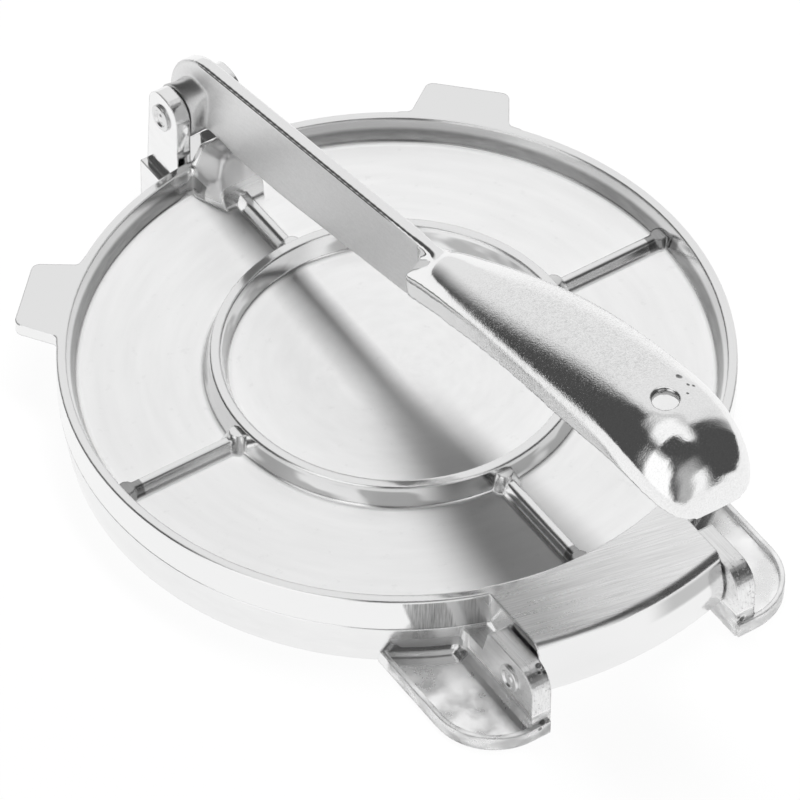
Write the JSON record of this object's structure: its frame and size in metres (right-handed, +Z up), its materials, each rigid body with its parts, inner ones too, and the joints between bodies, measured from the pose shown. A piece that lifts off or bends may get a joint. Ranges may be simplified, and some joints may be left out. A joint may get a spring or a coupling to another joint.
{
  "type": "tortilla press",
  "caption": "Round two-plate dough press: a dished upper plate hinged on a footed base plate, pressed by a long lever with a hollow handle shell.",
  "frame": {"origin": "on the table, at the middle of the closed press seen from above", "axes": "+X along both pins, +Y from the handle's tip to the lever's pin, +Z up"},
  "size_m": [0.206, 0.2856, 0.1248],
  "materials": {
    "cast_aluminium": "polished casting with fine brush marks",
    "pin_metal": "plain pin with peened ends"
  },
  "bodies": {
    "base": {"base_plate": "cast_aluminium", "hinge_pin": "pin_metal", "lever_pin": "pin_metal"},
    "upper": {"upper_plate": "cast_aluminium"},
    "lever": {"lever": "cast_aluminium"}
  },
  "joints": [
    {"name": "lever_pivot", "type": "hinge", "parent": "base", "child": "lever", "pos_m": [0, 0.13167, 0.041], "axis": [-1, 0, 0], "range_deg": [0, 168]},
    {"name": "plate_hinge", "type": "hinge", "parent": "base", "child": "upper", "pos_m": [0, -0.09973, 0.016], "axis": [1, 0, 0], "range_deg": [0, 177]}
  ],
  "couplings": [
    {"joint": "plate_hinge", "follows": "lever_pivot", "ratio": 0.09}
  ]
}
